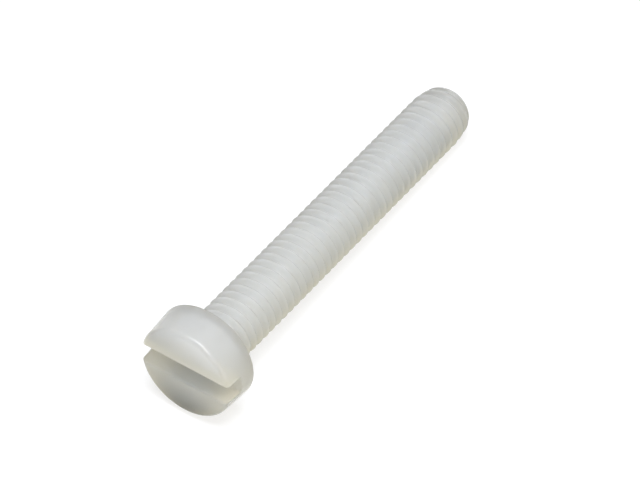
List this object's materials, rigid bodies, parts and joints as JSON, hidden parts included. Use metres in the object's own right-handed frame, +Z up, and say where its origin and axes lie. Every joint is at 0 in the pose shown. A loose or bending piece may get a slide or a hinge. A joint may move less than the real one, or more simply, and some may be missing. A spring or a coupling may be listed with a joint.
{
  "type": "machine screw",
  "caption": "Slotted cheese-head machine screw in natural polyamide, with a right-hand M6 thread along its whole shank and a tapered, rounded tip.",
  "frame": {"origin": "on the surface that the screw lies on, under the middle of its length", "axes": "+X along the surface from the head to the tip, +Y along the driver slot, +Z up; the screw's own axis falls 3.3 degrees towards the tip, because the head is wider than the shank"},
  "size_m": [0.044, 0.0102, 0.0101],
  "materials": {
    "nylon": "natural milky white moulded nylon, softly glossy and slightly translucent"
  },
  "bodies": {
    "root": {"screw": "nylon"}
  },
  "joints": []
}
